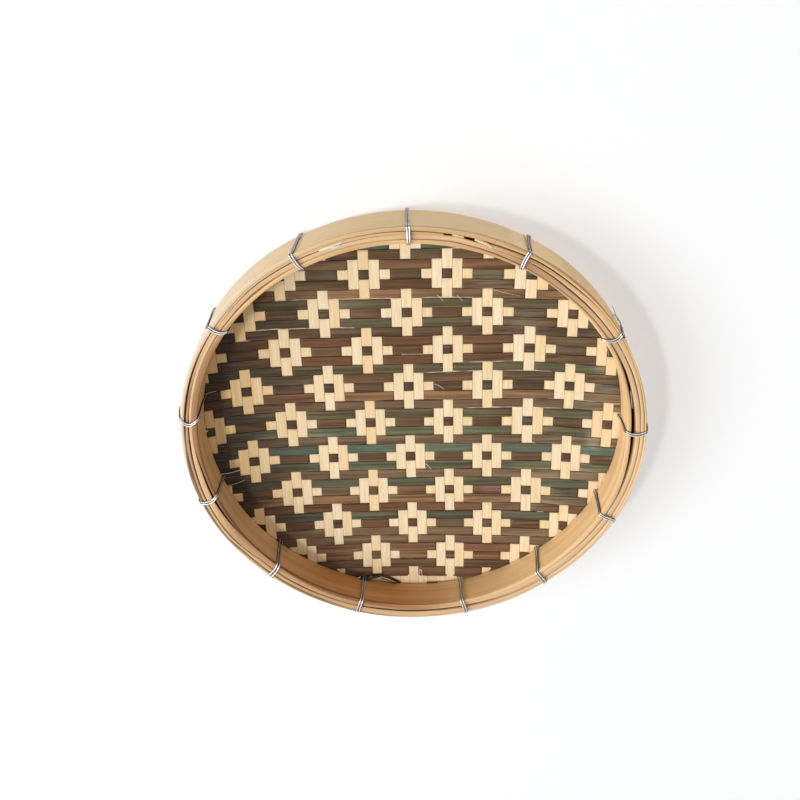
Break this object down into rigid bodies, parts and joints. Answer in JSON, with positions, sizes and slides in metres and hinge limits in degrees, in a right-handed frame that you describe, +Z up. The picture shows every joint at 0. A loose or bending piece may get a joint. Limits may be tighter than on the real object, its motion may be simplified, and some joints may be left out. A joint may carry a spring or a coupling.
{
  "type": "hanging wall basket",
  "caption": "Round shallow tray of interwoven natural and dyed bamboo splints, its edge clamped between two bent hoops and bound with doubled wire, hung on a wall.",
  "frame": {"origin": "on the wall plane behind the top wire tie, where a nail or hook catches the tie and the hoop's back edge", "axes": "+Y into the wall, +Z up the wall, +X to the right of a viewer who looks into the open side"},
  "size_m": [0.2513, 0.0257, 0.2512],
  "materials": {
    "outer_hoop_bamboo": "smooth split bamboo, natural skin",
    "inner_hoop_bamboo": "smooth split bamboo, honey brown",
    "rim_splint_bamboo": "split bamboo, matte",
    "natural_splint": "shaved bamboo, fine grain, satin",
    "dyed_splint": "dyed bamboo, streaked brown to olive, satin",
    "galvanised_wire": "dull galvanised wire"
  },
  "bodies": {
    "root": {"outer_hoop": "outer_hoop_bamboo", "inner_hoop": "inner_hoop_bamboo", "rim_splint_outer": "rim_splint_bamboo", "rim_splint_inner": "rim_splint_bamboo", "warp_mat": "natural_splint", "weft_splint_01": "dyed_splint", "weft_splint_02": "dyed_splint", "weft_splint_03": "dyed_splint", "weft_splint_04": "dyed_splint", "weft_splint_05": "dyed_splint", "weft_splint_06": "dyed_splint", "weft_splint_07": "dyed_splint", "weft_splint_08": "dyed_splint", "weft_splint_09": "dyed_splint", "weft_splint_10": "dyed_splint", "weft_splint_11": "dyed_splint", "weft_splint_12": "dyed_splint", "weft_splint_13": "dyed_splint", "weft_splint_14": "dyed_splint", "weft_splint_15": "dyed_splint", "weft_splint_16": "dyed_splint", "weft_splint_17": "dyed_splint", "weft_splint_18": "dyed_splint", "weft_splint_19": "dyed_splint", "weft_splint_20": "dyed_splint", "weft_splint_21": "dyed_splint", "weft_splint_22": "dyed_splint", "weft_splint_23": "dyed_splint", "weft_splint_24": "dyed_splint", "weft_splint_25": "dyed_splint", "weft_splint_26": "dyed_splint", "weft_splint_27": "dyed_splint", "weft_splint_28": "dyed_splint", "weft_splint_29": "dyed_splint", "weft_splint_30": "dyed_splint", "weft_splint_31": "dyed_splint", "weft_splint_32": "dyed_splint", "weft_splint_33": "dyed_splint", "weft_splint_34": "dyed_splint", "weft_splint_35": "dyed_splint", "weft_splint_36": "dyed_splint", "weft_splint_37": "dyed_splint", "weft_splint_38": "dyed_splint", "weft_splint_39": "dyed_splint", "weft_splint_40": "dyed_splint", "wire_tie_01": "galvanised_wire", "wire_tie_02": "galvanised_wire", "wire_tie_03": "galvanised_wire", "wire_tie_04": "galvanised_wire", "wire_tie_05": "galvanised_wire", "wire_tie_06": "galvanised_wire", "wire_tie_07": "galvanised_wire", "wire_tie_08": "galvanised_wire", "wire_tie_09": "galvanised_wire", "wire_tie_10": "galvanised_wire", "wire_tie_11": "galvanised_wire", "wire_tie_12": "galvanised_wire", "wire_tie_13": "galvanised_wire"}
  },
  "joints": []
}
